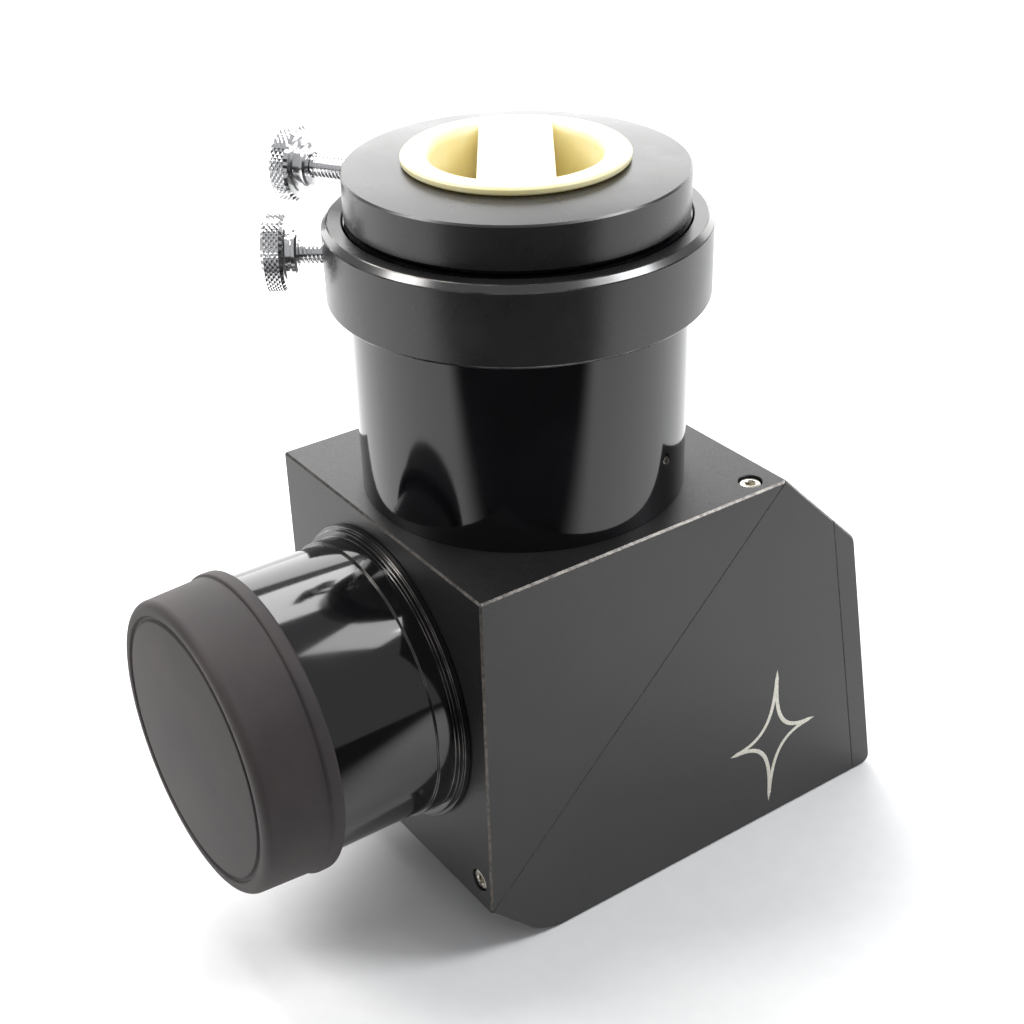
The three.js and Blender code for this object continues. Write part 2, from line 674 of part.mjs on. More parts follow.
// ---- Rubber dust cap over the barrel, in the nosepiece's frame ----
const capEnd = capStart + capLength;
const capFloor = capEnd - capFaceThickness;
const beadEnd = capStart + capBeadWidth;
const capRingRadius = capFrontRadius - capEdgeRadius - capRingInset;
const capRound = [30, 60].map((degrees) => {
  const angle = THREE.MathUtils.degToRad(degrees);
  return [
    capFrontRadius - capEdgeRadius * (1 - Math.cos(angle)),
    capEnd - capEdgeRadius * (1 - Math.sin(angle)),
  ];
});
const cap = new THREE.Group();
cap.add(piece("dust_cap", turned([
  [capInside, capStart],
  [capBeadRadius - capGrooveDepth, capStart],
  [capBeadRadius, capStart + capGrooveDepth],
  [capBeadRadius, beadEnd - capGrooveDepth],
  [capRearRadius - capGrooveDepth, beadEnd],
  [capRearRadius, beadEnd + capGrooveDepth],
  [capFrontRadius, capEnd - capEdgeRadius],
  ...capRound,
  [capFrontRadius - capEdgeRadius, capEnd],
  [capRingRadius, capEnd],
  [capRingRadius - capRingWidth / 2, capEnd - capGrooveDepth],
  [capRingRadius - capRingWidth, capEnd],
  [0, capEnd],
  [0, capFloor],
  [capInside, capFloor],
]), rubber(), noseFrame));

model.add(body, adapter, cap);
export default model;
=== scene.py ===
import json
import math

import bmesh
import bpy
from mathutils import Matrix, Vector

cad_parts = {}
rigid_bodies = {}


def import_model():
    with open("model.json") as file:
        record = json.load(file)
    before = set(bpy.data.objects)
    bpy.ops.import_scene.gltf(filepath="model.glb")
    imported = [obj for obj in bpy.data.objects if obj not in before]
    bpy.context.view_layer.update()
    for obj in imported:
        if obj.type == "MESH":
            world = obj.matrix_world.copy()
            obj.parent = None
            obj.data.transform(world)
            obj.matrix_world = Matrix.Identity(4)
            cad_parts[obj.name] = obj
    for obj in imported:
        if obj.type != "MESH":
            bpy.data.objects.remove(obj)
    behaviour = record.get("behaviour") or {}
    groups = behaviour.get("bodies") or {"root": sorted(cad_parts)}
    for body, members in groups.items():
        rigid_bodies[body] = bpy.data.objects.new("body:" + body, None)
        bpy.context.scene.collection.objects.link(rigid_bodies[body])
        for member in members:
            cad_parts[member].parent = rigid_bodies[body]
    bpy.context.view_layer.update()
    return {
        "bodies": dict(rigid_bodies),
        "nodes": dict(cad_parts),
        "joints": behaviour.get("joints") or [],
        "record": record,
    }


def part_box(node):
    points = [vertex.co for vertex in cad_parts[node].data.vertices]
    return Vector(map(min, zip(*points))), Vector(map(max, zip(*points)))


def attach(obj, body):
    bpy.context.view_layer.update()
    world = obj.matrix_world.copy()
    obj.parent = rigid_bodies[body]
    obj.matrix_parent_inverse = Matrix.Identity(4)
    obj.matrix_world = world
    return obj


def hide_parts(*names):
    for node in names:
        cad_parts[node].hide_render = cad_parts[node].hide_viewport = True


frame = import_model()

# ---- The view: a short telephoto lens on a tripod, looking down on the corner between the
# nosepiece face and the plain side of the housing.
scene = bpy.context.scene
for leftover in [o for o in scene.objects if o.name in ("Cube", "Camera", "Light")]:
    bpy.data.objects.remove(leftover)
scene.view_settings.view_transform = "Standard"
camera_data = bpy.data.cameras.new("camera")
camera_data.lens = 58.70
camera_data.sensor_width = 36
camera_data.clip_start = 0.01
camera_data.clip_end = 20
camera = bpy.data.objects.new("camera", camera_data)
scene.collection.objects.link(camera)
camera_place = Vector((0.214908, -0.150049, 0.221349))
camera_azimuth = math.radians(55.563)
camera_elevation = math.radians(30.4)
camera_roll = math.radians(-1.567)
camera.matrix_world = (
    Matrix.Translation(camera_place)
    @ Matrix.Rotation(camera_azimuth, 4, "Z")
    @ Matrix.Rotation(math.pi / 2 - camera_elevation, 4, "X")
    @ Matrix.Rotation(camera_roll, 4, "Z")
)
scene.camera = camera

# ---- The studio: a pale room with soft panels overhead and on both sides, a small one above the
# nosepiece that draws the bright line along it, and a wide backdrop that the top faces mirror.
room = bpy.data.worlds.new("pale_room")
room.use_nodes = True
walls = room.node_tree.nodes["Background"]
walls.inputs["Color"].default_value = (0.97, 0.98, 1.0, 1)
walls.inputs["Strength"].default_value = 0.45
scene.world = room


def diffusion_panel(name, place, aim_height, size, watts, tint=(1, 1, 1)):
    """A soft panel light at a place, facing the part's middle at a height."""
    data = bpy.data.lights.new(name, "AREA")
    data.shape = "RECTANGLE"
    data.size, data.size_y = size
    data.energy = watts
    data.color = tint
    panel = bpy.data.objects.new(name, data)
    panel.location = place
    facing = Vector((0, 0, aim_height)) - Vector(place)
    panel.rotation_euler = facing.to_track_quat("-Z", "Y").to_euler()
    panel.visible_camera = False
    scene.collection.objects.link(panel)


diffusion_panel("panel_overhead", (-0.42, 0.06, 0.76), 0.05, (0.46, 0.50), 4.9)
diffusion_panel("panel_above_nosepiece", (0.27, 0.24, 0.80), 0.05, (0.24, 0.30), 1.1)
diffusion_panel("panel_left", (-0.30, -0.51, 0.66), 0.10, (0.20, 0.34), 2.9, (1, 0.98, 0.96))
diffusion_panel("panel_right", (0.36, 0.46, 0.66), 0.10, (0.20, 0.34), 2.6, (0.96, 0.98, 1))
diffusion_panel("backdrop", (-0.74, 0.51, 0.32), 0.12, (1.9, 0.62), 11.0, (1, 1, 0.99))


# ---- Front housing: the 45 degree half of the block that the nosepiece and the eyepiece tube
# screw into. It is milled from aluminium bar, bead-blasted and black anodised, with a fine
# chamfer cut after the blasting, so its edges show as thin bright lines.
MM = 0.001


def add_node(tree, kind, inputs=None, **settings):
    """Adds one shader node; an input is a value, or the socket that feeds it."""
    made = tree.nodes.new("ShaderNode" + kind)
    for name, value in settings.items():
        setattr(made, name, value)
    for name, value in (inputs or {}).items():
        if isinstance(value, bpy.types.NodeSocket):
            tree.links.new(value, made.inputs[name])
        else:
            made.inputs[name].default_value = value
    return made


def colour(code):
    """An sRGB hex code as the linear colour that a shader takes."""
    parts = [int(code[i:i + 2], 16) / 255 for i in (1, 3, 5)]
    linear = [c / 12.92 if c <= 0.04045 else ((c + 0.055) / 1.055) ** 2.4 for c in parts]
    return (*linear, 1)


def new_material(name):
    """A node material, its tree, its shader and its Object coordinates."""
    material = bpy.data.materials.new(name)
    material.use_nodes = True
    tree = material.node_tree
    shader = tree.nodes["Principled BSDF"]
    place = add_node(tree, "TexCoord").outputs["Object"]
    return material, tree, shader, place


def blasted_aluminium(name, base, dusty, rough, grit_depth):
    """Bead-blasted black anodised aluminium: matt, sandy to the eye, with a soft grey sheen.
    The blasting leaves dimples 0.15 mm across, drawn here at 0.4 mm so that they show."""
    material, tree, shader, place = new_material(name)
    dimples = add_node(tree, "TexNoise", {
        "Vector": place, "Scale": 1 / (0.40 * MM), "Detail": 3.0, "Roughness": 0.6})
    blotches = add_node(tree, "TexNoise", {
        "Vector": place, "Scale": 1 / (22 * MM), "Detail": 3.0, "Roughness": 0.55})
    tone = add_node(tree, "ValToRGB", {"Fac": blotches.outputs["Fac"]})
    tone.color_ramp.elements[0].position = 0.35
    tone.color_ramp.elements[0].color = colour(base)
    tone.color_ramp.elements[1].position = 0.70
    tone.color_ramp.elements[1].color = colour(dusty)
    speck = add_node(tree, "MapRange", {
        "Value": dimples.outputs["Fac"], "From Min": 0.3, "From Max": 0.75,
        "To Min": rough - 0.05, "To Max": rough + 0.09})
    bump = add_node(tree, "Bump", {
        "Height": dimples.outputs["Fac"], "Strength": grit_depth, "Distance": 0.05 * MM})
    shader.inputs["IOR"].default_value = 1.58
    tree.links.new(tone.outputs["Color"], shader.inputs["Base Color"])
    tree.links.new(speck.outputs["Result"], shader.inputs["Roughness"])
    tree.links.new(bump.outputs["Normal"], shader.inputs["Normal"])
    return material


blasted_black = blasted_aluminium(
    "aluminium_bead_blasted_black_anodised", "#131214", "#1b1a1b", 0.42, 0.35)
# The chamfers are cut last and anodised bare, so they are smoother and catch the light.
cut_edge, tree, shader, place = new_material("aluminium_milled_edge_black_anodised")
mill_marks = add_node(tree, "TexNoise", {
    "Vector": place, "Scale": 1 / (0.8 * MM), "Detail": 2.0})
edge_wear = add_node(tree, "ValToRGB", {"Fac": mill_marks.outputs["Fac"]})
edge_wear.color_ramp.elements[0].position = 0.30
edge_wear.color_ramp.elements[0].color = colour("#3b3836")
edge_wear.color_ramp.elements[1].position = 0.75
edge_wear.color_ramp.elements[1].color = colour("#6b6660")
shader.inputs["Metallic"].default_value = 0.55
shader.inputs["Roughness"].default_value = 0.24
tree.links.new(edge_wear.outputs["Color"], shader.inputs["Base Color"])


def prism_across(outline, low_x, high_x):
    """A bar along X on an outline of (y, z) corners."""
    bm = bmesh.new()
    face = bm.faces.new([bm.verts.new((low_x, y, z)) for y, z in outline])
    swept = bmesh.ops.extrude_face_region(bm, geom=[face])
    moved = [v for v in swept["geom"] if isinstance(v, bmesh.types.BMVert)]
    bmesh.ops.translate(bm, verts=moved, vec=(high_x - low_x, 0, 0))
    bmesh.ops.recalc_face_normals(bm, faces=bm.faces)
    return bm


def turned(profile, steps, frame=None):
    """A turned piece on a closed profile of (radius, height) points in mm, about +Z."""
    bm = bmesh.new()
    points = [bm.verts.new((radius * MM, 0, height * MM)) for radius, height in profile]
    loop = [bm.edges.new((a, b)) for a, b in zip(points, points[1:] + points[:1])]
    on_axis = [e for e in loop if all(abs(v.co.x) < 1e-9 for v in e.verts)]
    bmesh.ops.delete(bm, geom=on_axis, context="EDGES")
    bmesh.ops.spin(bm, geom=bm.verts[:] + bm.edges[:], cent=(0, 0, 0), axis=(0, 0, 1),
                   angle=2 * math.pi, steps=steps, use_merge=True)
    bmesh.ops.remove_doubles(bm, verts=bm.verts, dist=1e-7)
    bmesh.ops.recalc_face_normals(bm, faces=bm.faces)
    if frame:
        bmesh.ops.transform(bm, matrix=frame, verts=bm.verts)
    return bm


def ease(bm, size, segments=1, sharper_than=25, only=None, material=-1):
    """Chamfers or rounds every edge sharper than an angle, by a size in mm."""
    edges = [e for e in bm.edges if e.is_manifold
             and e.calc_face_angle() > math.radians(sharper_than) and (only is None or only(e))]
    bmesh.ops.bevel(bm, geom=edges, offset=size * MM, offset_type="OFFSET", segments=segments,
                    profile=0.5, affect="EDGES", clamp_overlap=True, material=material)
    return bm


def machined(bm, cutters):
    """The block with each cutter taken out of it; the cutters are used up. The cutting is done
    at a thousand times the size, where the solver is surer of what touches what."""
    def stock(name, source):
        mesh = bpy.data.meshes.new(name)
        bmesh.ops.scale(source, vec=(1 / MM,) * 3, verts=source.verts)
        source.to_mesh(mesh)
        source.free()
        made = bpy.data.objects.new(name, mesh)
        scene.collection.objects.link(made)
        return made

    block = stock("stock", bm)
    tools = [stock("tool", cutter) for cutter in cutters]
    for tool in tools:
        cut = block.modifiers.new("cut", "BOOLEAN")
        cut.operation = "DIFFERENCE"
        cut.solver = "MANIFOLD"
        cut.object = tool
    cut_mesh = bpy.data.meshes.new_from_object(
        block.evaluated_get(bpy.context.evaluated_depsgraph_get()))
    result = bmesh.new()
    result.from_mesh(cut_mesh)
    bmesh.ops.scale(result, vec=(MM,) * 3, verts=result.verts)
    for used in [block, *tools]:
        old = used.data
        bpy.data.objects.remove(used)
        bpy.data.meshes.remove(old)
    bpy.data.meshes.remove(cut_mesh)
    return result


def made_of(name, bm, *materials, sharper_than=30):
    """The finished piece: its mesh in place, its materials on, smooth up to an angle."""
    mesh = bpy.data.meshes.new(name)
    bm.to_mesh(mesh)
    bm.free()
    mesh.shade_smooth()
    mesh.set_sharp_from_angle(angle=math.radians(sharper_than))
    for material in materials:
        mesh.materials.append(material)
    piece = bpy.data.objects.new(name, mesh)
    scene.collection.objects.link(piece)
    return piece


def in_mm(node):
    """A CAD node's lowest and highest corners, in mm."""
    low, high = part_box(node)
    return low / MM, high / MM


nose_low, nose_high = in_mm("nosepiece_barrel")
front_low, front_high = in_mm("front_housing")
axis_z = (nose_low.z + nose_high.z) / 2
half_width = front_high.x
top_z = front_high.z
front_y = front_low.y
seam_behind_mirror = 3.3
seam_top = Vector((top_z - axis_z + seam_behind_mirror, top_z))
seam_bottom = Vector((front_y, axis_z + front_y - seam_behind_mirror))
joint_gap = 0.05  # half the gap at the seam
edge_chamfer = 0.35
fine_chamfer = 0.10
light_radius = 23.2
nose_socket = 26.4
tube_socket = 26.8
socket_depth = 4.2
round_steps = 192
small_steps = 48


def tipped_frame(y, turn):
    """A frame on the nosepiece axis at a y in mm, tipped about X."""
    return Matrix.Translation((0, y * MM, axis_z * MM)) @ Matrix.Rotation(turn, 4, "X")


nose_frame = tipped_frame(front_y, math.pi / 2)
mirror_frame = tipped_frame(0, math.pi / 4)


def rod(radius, low, high, steps=round_steps, frame=None):
    """A plain round bar between two heights, mostly used as a drill."""
    return turned([(0, low), (radius, low), (radius, high), (0, high)], steps, frame)


def in_seam(edge, step=0.0):
    """Whether an edge lies in the seam's plane, moved a step in mm square to the rest face."""
    rise = seam_top.y - seam_top.x
    return all(abs(v.co.z / MM - v.co.y / MM - rise - step) < 0.02 for v in edge.verts)


# The mirror's cell is a milled pocket with its corners cut off.
mirror_half = Vector((26.0, 35.5))
mirror_corner = 9.0
cell_gap = 0.4
cell_depth = 10.7


def cell_cutter():
    """The pocket's shape, from its floor to just past the mirror's face."""
    u, v = mirror_half.x + cell_gap, mirror_half.y + cell_gap
    c = mirror_corner
    outline = [(u, c - v), (u, v - c), (u - c, v), (c - u, v),
               (-u, v - c), (-u, c - v), (c - u, -v), (u - c, -v)]
    bm = bmesh.new()
    face = bm.faces.new([bm.verts.new((x * MM, y * MM, -cell_depth * MM)) for x, y in outline])
    swept = bmesh.ops.extrude_face_region(bm, geom=[face])
    moved = [v for v in swept["geom"] if isinstance(v, bmesh.types.BMVert)]
    bmesh.ops.translate(bm, verts=moved, vec=(0, 0, (cell_depth + 0.1) * MM))
    bmesh.ops.recalc_face_normals(bm, faces=bm.faces)
    bmesh.ops.transform(bm, matrix=mirror_frame, verts=bm.verts)
    return bm


# Every screw sits in a counterbore, so the holes are shared by the housings and the plate.
head_radius = 1.95
head_sink = 0.35
head_height = 2.0
shank_length = 8.5
shank_hole = 1.2
head_hole = head_radius + 0.2


def screw_hole(frame):
    """A drilled hole with a counterbore and a countersunk lip."""
    seat = -head_sink - head_height - 0.1
    end = seat - shank_length - 0.1
    return turned([(0, end), (shank_hole, end), (shank_hole, seat), (head_hole, seat),
                   (head_hole, -0.12), (head_radius + 1.32, 1), (0, 1)], small_steps, frame)


# The back slopes from a shoulder below the seam's top down to a heel on the base.
slope_fall = 18.7
heel_set_back = 10.8
shoulder = seam_top + Vector((slope_fall, -slope_fall))
heel = Vector((shoulder.x + heel_set_back, 0))
down_back = (heel - shoulder).normalized()
back_normal = Vector((-down_back.y, down_back.x))
seam_screw_from_side, seam_screw_from_edge = 3.8, 5.2
plate_screw_from_side, plate_screw_from_end = 2.7, 7
screw_frames = {}
for side, sign in (("left", -1), ("right", 1)):
    seam_x = sign * (half_width - seam_screw_from_side)
    plate_x = sign * (half_width - plate_screw_from_side)
    facing_front = Matrix.Rotation(math.pi / 2, 4, "X")
    facing_back = Matrix.Rotation(-math.atan2(back_normal.x, back_normal.y), 4, "X")
    high = shoulder + down_back * plate_screw_from_end
    low = heel - down_back * plate_screw_from_end
    for name, turn, x, y, z in (
        ("housing_screw_top_", Matrix.Identity(4), seam_x,
         seam_top.x - seam_screw_from_edge, top_z),
        ("housing_screw_front_", facing_front, seam_x,
         front_y, seam_bottom.y + seam_screw_from_edge),
        ("back_plate_screw_high_", facing_back, plate_x, high.x, high.y),
        ("back_plate_screw_low_", facing_back, plate_x, low.x, low.y),
    ):
        screw_frames[name + side] = Matrix.Translation(Vector((x, y, z)) * MM) @ turn


def holes_for(start):
    """The holes of the screws whose names start so."""
    return [screw_hole(spot) for name, spot in screw_frames.items() if name.startswith(start)]


def metres(*corners):
    """An outline of (y, z) corners in mm, in metres."""
    return [(y * MM, z * MM) for y, z in corners]


wedge = prism_across(
    metres((seam_top.x - joint_gap, top_z), (front_y, top_z),
           (front_y, seam_bottom.y + joint_gap)),
    -half_width * MM, half_width * MM)
ease(wedge, edge_chamfer, only=lambda e: not in_seam(e, joint_gap), material=1)
ease(wedge, fine_chamfer, only=lambda e: in_seam(e, joint_gap), material=1)
front_block = made_of("front_block", machined(wedge, [
    rod(nose_socket, -socket_depth, 1, frame=nose_frame),
    rod(light_radius, front_y - light_radius, 1, frame=nose_frame),
    rod(tube_socket, top_z - socket_depth, top_z + 1),
    rod(light_radius, axis_z - light_radius, top_z + 1),
    cell_cutter(),
    *holes_for("housing_screw"),
]), blasted_black, cut_edge)
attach(front_block, "body")
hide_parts("front_housing")

# ---- Rear housing: the half behind the mirror, of the same blasted and anodised aluminium. It
# holds the mirror's cell, is hollowed out from behind and meets the front half in a fine seam.
plate_thickness = 4.8
wall = 5.0
toe = Vector((front_y + seam_bottom.y, 0))
toe_round = 4.5
level = Vector((1, 0))
up_seam = Vector((1, 1)).normalized()
down_seam = Vector((1, -1)).normalized()


def meet(a, u, b, v):
    """Where the line through a along u meets the line through b along v."""
    reach = (b - a).cross(v) / u.cross(v)
    return a + u * reach


def back_line(depth):
    """The line a depth in from the back face: its ends on the slope and on the base."""
    start = shoulder - back_normal * depth
    return meet(start, down_back, seam_top, down_seam), meet(start, down_back, heel, level)


def rounded_at(bm, corner, size, segments=10):
    """Rounds the long edges that run through a (y, z) corner."""
    return ease(bm, size, segments, only=lambda e: all(
        (Vector((v.co.y, v.co.z)) / MM - corner).length < 0.2 for v in e.verts))


def in_line(edge, a, b):
    """Whether an edge lies in the plane across the housing through two (y, z) points."""
    along = (b - a).normalized()
    return all(abs((Vector((v.co.y, v.co.z)) / MM - a).cross(along)) < 0.02 for v in edge.verts)


plate_high, plate_low = back_line(plate_thickness + 0.1)
behind_seam = down_seam * joint_gap
rear_top, rear_bottom = seam_top + behind_seam, seam_bottom + behind_seam
rear = prism_across(metres(rear_top, rear_bottom, toe, plate_low, plate_high),
                    -half_width * MM, half_width * MM)
rounded_at(rear, toe, toe_round)


def at_joint(edge):
    """Whether an edge meets the front housing or the back cover."""
    return in_line(edge, rear_top, rear_bottom) or in_line(edge, plate_high, plate_low)


ease(rear, edge_chamfer, only=lambda e: not at_joint(e), material=1)
ease(rear, fine_chamfer, only=at_joint, material=1)
cell_behind_seam = cell_depth - seam_behind_mirror * math.sqrt(0.5)
web_point = seam_top + down_seam * (cell_behind_seam + wall)
slope_inside = seam_top - up_seam * wall
floor_inside = Vector((0, wall))
behind = heel + back_normal
chamber_set_back = 5  # keeps a full wall over the toe's slope
chamber_corners = [
    meet(web_point, up_seam, slope_inside, down_seam),
    meet(web_point, up_seam, floor_inside, level) + level * chamber_set_back,
    meet(behind, down_back, floor_inside, level),
    meet(behind, down_back, slope_inside, down_seam),
]
chamber = prism_across(metres(*chamber_corners),
                       (wall - half_width) * MM, (half_width - wall) * MM)
rear_block = made_of("rear_block", machined(rear, [
    cell_cutter(), chamber, *holes_for("housing_screw"), *holes_for("back_plate_screw"),
]), blasted_black, cut_edge)
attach(rear_block, "body")
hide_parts("rear_housing")

# ---- Back cover: a milled plate over the hollow, with four screws. It is blasted and anodised
# with the housings, and its joint shows as a hairline down the sides.
heel_round, shoulder_round = 2.4, 1.0
cover_high, cover_low = back_line(plate_thickness)
cover = prism_across(metres(cover_high, cover_low, heel, shoulder),
                     -half_width * MM, half_width * MM)
rounded_at(cover, heel, heel_round)
rounded_at(cover, shoulder, shoulder_round, 6)
ease(cover, edge_chamfer, only=lambda e: not in_line(e, cover_high, cover_low), material=1)
ease(cover, fine_chamfer, only=lambda e: in_line(e, cover_high, cover_low), material=1)
back_cover = made_of("back_cover", machined(cover, holes_for("back_plate_screw")),
                     blasted_black, cut_edge)
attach(back_cover, "body")
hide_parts("back_plate")

# ---- Socket screws: eight small stainless cap screws, their heads turned with an eased rim
# and a hexagonal socket, sunk just below the surface.
stainless, tree, shader, place = new_material("stainless_steel_turned")
turning = add_node(tree, "TexNoise", {
    "Vector": place, "Scale": 1 / (0.25 * MM), "Detail": 2.0})
bright_or_dull = add_node(tree, "MapRange", {
    "Value": turning.outputs["Fac"], "To Min": 0.16, "To Max": 0.38})
shader.inputs["Base Color"].default_value = colour("#d2cdc2")
shader.inputs["Metallic"].default_value = 1.0
tree.links.new(bright_or_dull.outputs["Result"], shader.inputs["Roughness"])


shank_radius = 1.0
key_radius = 0.95


def socket_screw(frame):
    """One screw; the top of its head is a little below the frame's origin."""
    top = -head_sink
    under = top - head_height
    end = under - shank_length
    body = turned([(0, end), (shank_radius, end), (shank_radius, under), (head_radius, under),
                   (head_radius, top - 0.3), (head_radius - 0.1, top - 0.1),
                   (head_radius - 0.3, top), (0, top)], small_steps)
    hexagon = bmesh.new()
    bmesh.ops.create_cone(hexagon, cap_ends=True, segments=6, radius1=key_radius * MM,
                          radius2=key_radius * MM, depth=2 * MM,
                          matrix=Matrix.Translation((0, 0, top * MM)))
    lead_in = turned([(0, top - 0.2), (key_radius - 0.1, top - 0.2),
                      (key_radius + 0.2, top + 0.1), (0, top + 0.1)], small_steps)
    made = machined(body, [hexagon, lead_in])
    bmesh.ops.transform(made, matrix=frame, verts=made.verts)
    return made


for name, spot in screw_frames.items():
    screw = made_of(name.replace("screw", "cap_screw"), socket_screw(spot), stainless)
    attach(screw, "body")
    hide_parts(name)

# ---- Engraved mark: a plain four-pointed star, cut as an outline into the side of the rear
# housing after anodising and filled with silver paint.
star_centre = Vector((35.0, 19.5))
star_reach = (10.5, 15.5)
star_waist = 0.24
star_line = 0.42
star_stands = 0.03
silver_paint, tree, shader, place = new_material("enamel_paint_silver")
flake = add_node(tree, "TexNoise", {
    "Vector": place, "Scale": 1 / (0.3 * MM), "Detail": 2.0})
flake_tone = add_node(tree, "ValToRGB", {"Fac": flake.outputs["Fac"]})
flake_tone.color_ramp.elements[0].position = 0.3
flake_tone.color_ramp.elements[0].color = colour("#b9b5a8")
flake_tone.color_ramp.elements[1].position = 0.7
flake_tone.color_ramp.elements[1].color = colour("#e2dfd4")
shader.inputs["Metallic"].default_value = 0.25
shader.inputs["Roughness"].default_value = 0.42
tree.links.new(flake_tone.outputs["Color"], shader.inputs["Base Color"])

curve = bpy.data.curves.new("star_outline", "CURVE")
curve.dimensions = "3D"
curve.bevel_depth = star_line * MM
curve.bevel_resolution = 2
curve.resolution_u = 20
spline = curve.splines.new("BEZIER")
spline.bezier_points.add(3)
spline.use_cyclic_u = True
for point, (du, dv) in zip(spline.bezier_points, ((0, 1), (1, 0), (0, -1), (-1, 0))):
    tip = Vector((0, du * star_reach[0], dv * star_reach[1]))
    point.co = tip * MM
    point.handle_left_type = point.handle_right_type = "FREE"
    point.handle_left = tip * star_waist * MM
    point.handle_right = tip * star_waist * MM
outline = bpy.data.objects.new("star_outline", curve)
scene.collection.objects.link(outline)
star_mesh = bpy.data.meshes.new_from_object(
    outline.evaluated_get(bpy.context.evaluated_depsgraph_get()))
bpy.data.objects.remove(outline)
star = bmesh.new()
star.from_mesh(star_mesh)
bmesh.ops.scale(star, vec=(star_stands / star_line, 1, 1), verts=star.verts)
bmesh.ops.translate(star, vec=(half_width * MM, star_centre.x * MM, star_centre.y * MM),
                    verts=star.verts)
side_mark = made_of("side_star_mark", star, silver_paint)
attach(side_mark, "body")

# ---- Mirror and its pads: a ground glass flat with a bright aluminium coat on its face, held
# off the cell's floor by three soft silicone pads.
mirror_coat, tree, shader, place = new_material("glass_mirror_aluminium_coated")
film = add_node(tree, "TexNoise", {
    "Vector": place, "Scale": 1 / (30 * MM), "Detail": 2.0})
film_haze = add_node(tree, "MapRange", {
    "Value": film.outputs["Fac"], "To Min": 0.008, "To Max": 0.03})
shader.inputs["Base Color"].default_value = colour("#eef2f5")
shader.inputs["Metallic"].default_value = 1.0
tree.links.new(film_haze.outputs["Result"], shader.inputs["Roughness"])
frame["nodes"]["mirror"].material_slots[0].material = mirror_coat

silicone, tree, shader, place = new_material("silicone_moulded_translucent")
skin = add_node(tree, "TexNoise", {
    "Vector": place, "Scale": 1 / (0.6 * MM), "Detail": 2.0})
skin_bump = add_node(tree, "Bump", {
    "Height": skin.outputs["Fac"], "Strength": 0.2, "Distance": 0.02 * MM})
shader.inputs["Base Color"].default_value = colour("#cfcabf")
shader.inputs["Roughness"].default_value = 0.62
shader.inputs["IOR"].default_value = 1.41
tree.links.new(skin_bump.outputs["Normal"], shader.inputs["Normal"])
for number in (1, 2, 3):
    frame["nodes"]["mirror_pad_%d" % number].material_slots[0].material = silicone

# ---- Nosepiece: the two-inch barrel that goes into the telescope. It is turned from aluminium
# tube, polished and gloss black anodised, with a stepped flange at the housing and a filter
# thread cut inside its open end.


def round_the_axis(tree, place, turn_to_z, centre):
    """Coordinates (radius, 0, height) about a turned piece's own axis, in metres."""
    centred = add_node(tree, "VectorMath", {0: place, 1: centre}, operation="SUBTRACT")
    stood_up = add_node(tree, "Mapping", {
        "Vector": centred.outputs["Vector"], "Rotation": turn_to_z}, vector_type="POINT")
    parts = add_node(tree, "SeparateXYZ", {"Vector": stood_up.outputs["Vector"]})
    flat = add_node(tree, "CombineXYZ", {"X": parts.outputs["X"], "Y": parts.outputs["Y"]})
    radius = add_node(tree, "VectorMath", {0: flat.outputs["Vector"]}, operation="LENGTH")
    return add_node(tree, "CombineXYZ", {
        "X": radius.outputs["Value"], "Z": parts.outputs["Z"]}).outputs["Vector"]


def turned_aluminium(name, base, edge, rough, spread, ring_size, ring_depth, ior,
                     turn_to_z=(0, 0, 0), centre=(0, 0, 0)):
    """Black anodised aluminium as the lathe leaves it: fine rings round the axis that break
    reflections into streaks, and a faint haze of handling."""
    material, tree, shader, place = new_material(name)
    rings_at = round_the_axis(tree, place, turn_to_z, centre)
    rings = add_node(tree, "TexNoise", {
        "Vector": rings_at, "Scale": 1 / (ring_size * MM), "Detail": 3.0, "Roughness": 0.7})
    haze = add_node(tree, "TexNoise", {
        "Vector": place, "Scale": 1 / (14 * MM), "Detail": 4.0, "Roughness": 0.6})
    tone = add_node(tree, "ValToRGB", {"Fac": haze.outputs["Fac"]})
    tone.color_ramp.elements[0].position = 0.3
    tone.color_ramp.elements[0].color = colour(base)
    tone.color_ramp.elements[1].position = 0.75
    tone.color_ramp.elements[1].color = colour(edge)
    gloss = add_node(tree, "MapRange", {
        "Value": haze.outputs["Fac"], "From Min": 0.3, "From Max": 0.7,
        "To Min": rough, "To Max": rough + spread})
    bump = add_node(tree, "Bump", {
        "Height": rings.outputs["Fac"], "Strength": ring_depth, "Distance": 0.02 * MM})
    shader.inputs["IOR"].default_value = ior
    tree.links.new(tone.outputs["Color"], shader.inputs["Base Color"])
    tree.links.new(gloss.outputs["Result"], shader.inputs["Roughness"])
    tree.links.new(bump.outputs["Normal"], shader.inputs["Normal"])
    return material


nose_centre = (0, 0, axis_z * MM)
gloss_nose = turned_aluminium(
    "aluminium_polished_gloss_black_anodised_nosepiece", "#0a0a0b", "#101012", 0.07, 0.05,
    0.5, 0.03, 1.65, (-math.pi / 2, 0, 0), nose_centre)
# Sharp turned corners polish through to a brighter line.
gloss_edge, tree, shader, place = new_material("aluminium_polished_edge_black_anodised")
rub = add_node(tree, "TexNoise", {
    "Vector": place, "Scale": 1 / (5 * MM), "Detail": 2.0})
rub_tone = add_node(tree, "ValToRGB", {"Fac": rub.outputs["Fac"]})
rub_tone.color_ramp.elements[0].position = 0.35
rub_tone.color_ramp.elements[0].color = colour("#2c2a29")
rub_tone.color_ramp.elements[1].position = 0.7
rub_tone.color_ramp.elements[1].color = colour("#6d6a66")
shader.inputs["Metallic"].default_value = 0.7
shader.inputs["Roughness"].default_value = 0.16
tree.links.new(rub_tone.outputs["Color"], shader.inputs["Base Color"])

